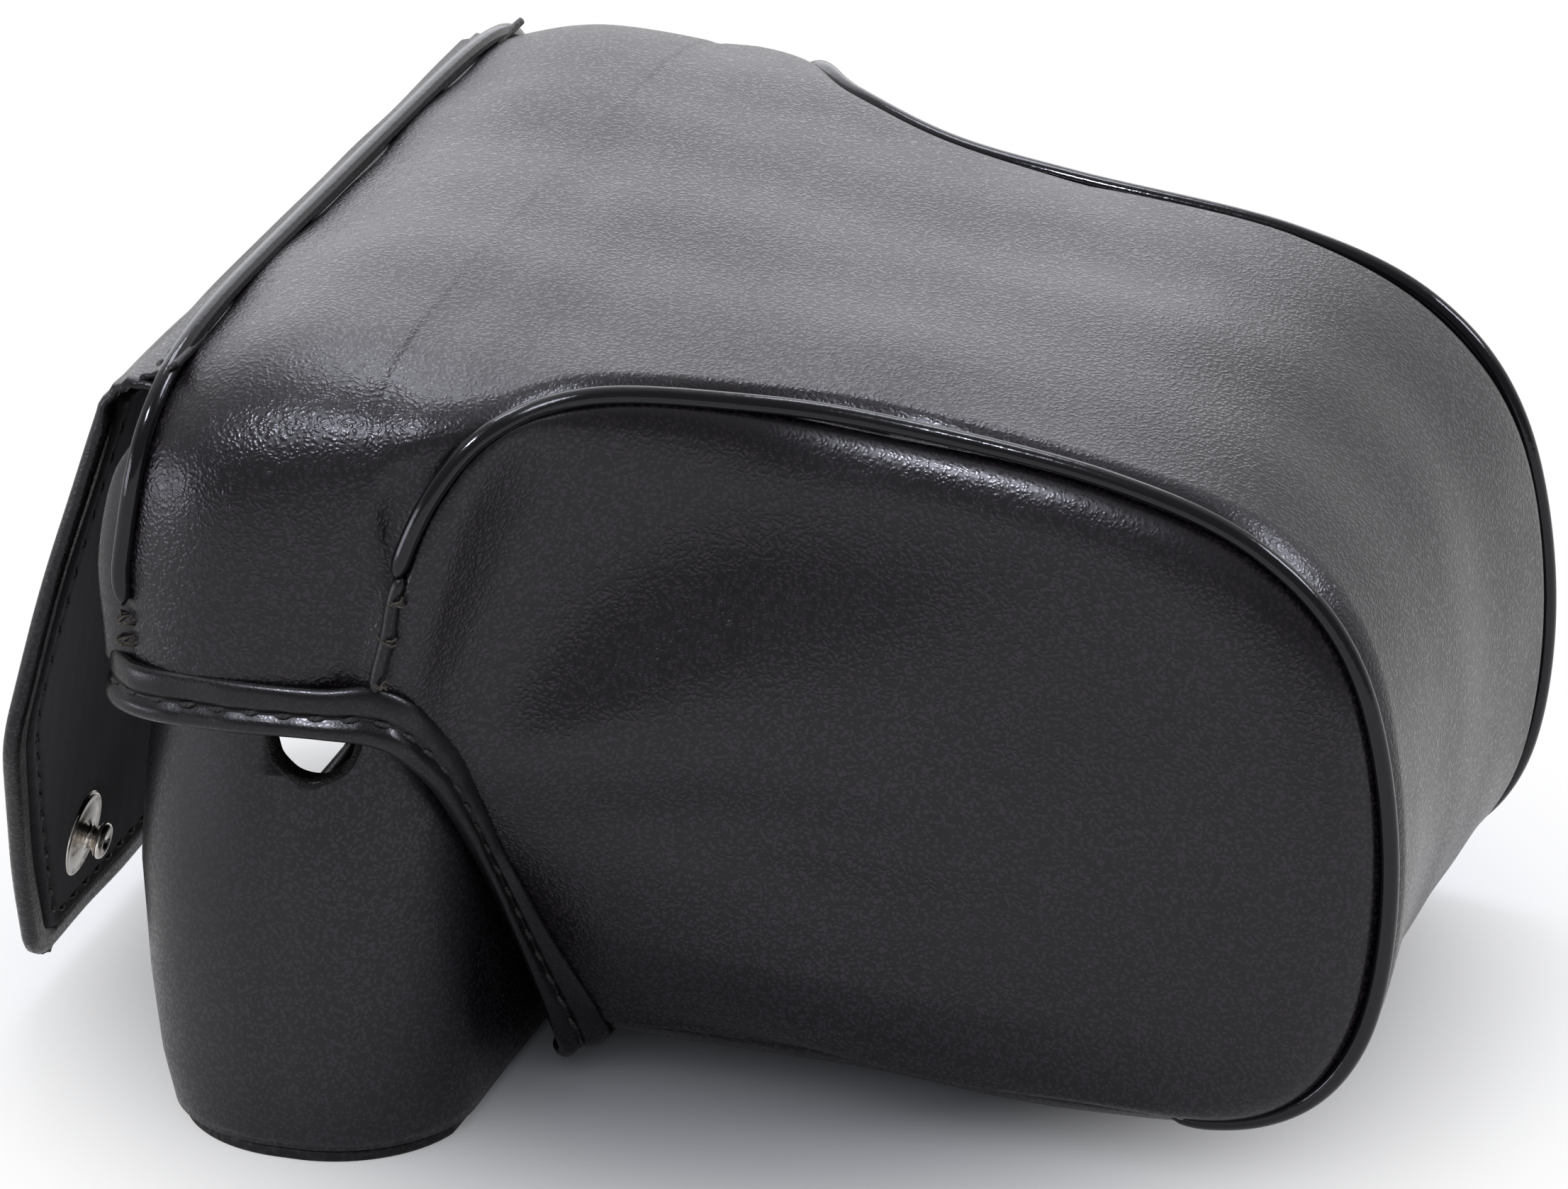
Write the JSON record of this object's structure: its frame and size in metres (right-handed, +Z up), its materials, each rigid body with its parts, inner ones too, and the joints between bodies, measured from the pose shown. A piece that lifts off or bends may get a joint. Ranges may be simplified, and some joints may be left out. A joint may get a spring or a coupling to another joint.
{
  "type": "leather camera case",
  "caption": "Black leather ever ready case for a reflex camera: a half case with camera screw, a lift-off hood with long lens nose, and a snap-down back flap.",
  "frame": {"origin": "mouth of the tripod thread in the camera screw's head, in the plane of the sole", "axes": "+Z up, the lens nose points to -Y, the back flap hangs on the +Y side, X runs along the camera's width"},
  "size_m": [0.1518, 0.1717, 0.1001],
  "materials": {
    "black_leather": "satin black, fine grain",
    "sole_leather": "matte black",
    "piping_vinyl": "glossy black",
    "lining_cloth": "short black nap",
    "nickel": "worn nickel plate",
    "fibre_board": "raw fibre board",
    "black_thread": "waxed black thread",
    "tan_thread": "dull olive tan thread"
  },
  "bodies": {
    "half_case": {"half_case_wall": "black_leather", "half_case_lining": "lining_cloth", "sole": "sole_leather", "base_board": "fibre_board", "floor_pad": "lining_cloth", "screw_escutcheon": "nickel", "snap_sockets": "nickel", "socket_rivets": "nickel"},
    "screw": {"camera_screw": "nickel", "retaining_ring": "nickel"},
    "hood": {"hood_panel": "black_leather", "left_cheek": "black_leather", "right_cheek": "black_leather", "back_panel": "black_leather", "hood_lining": "lining_cloth", "left_cheek_lining": "lining_cloth", "right_cheek_lining": "lining_cloth", "back_lining": "lining_cloth", "left_piping": "piping_vinyl", "right_piping": "piping_vinyl", "rear_piping": "piping_vinyl", "rim_binding": "black_leather", "rim_thread": "black_thread", "seam_tacks": "tan_thread", "flap_root": "black_leather"},
    "flap": {"flap_leather": "black_leather", "flap_lining": "black_leather", "flap_thread": "black_thread", "snap_studs": "nickel", "snap_caps": "black_leather"}
  },
  "joints": [
    {"name": "hood_lift", "type": "slide", "parent": "half_case", "child": "hood", "axis": [0, 0, 1], "range_m": [0, 0.08]},
    {"name": "flap_fold", "type": "hinge", "parent": "hood", "child": "flap", "pos_m": [0, 0.0224, 0.0924], "axis": [1, 0, 0], "range_deg": [-12.4, 110], "stiffness_Nm_per_rad": 0.05, "springref_deg": 4.01},
    {"name": "screw_turn", "type": "hinge", "parent": "half_case", "child": "screw", "pos_m": [0, 0, 0], "axis": [0, 0, 1], "continuous": true}
  ]
}
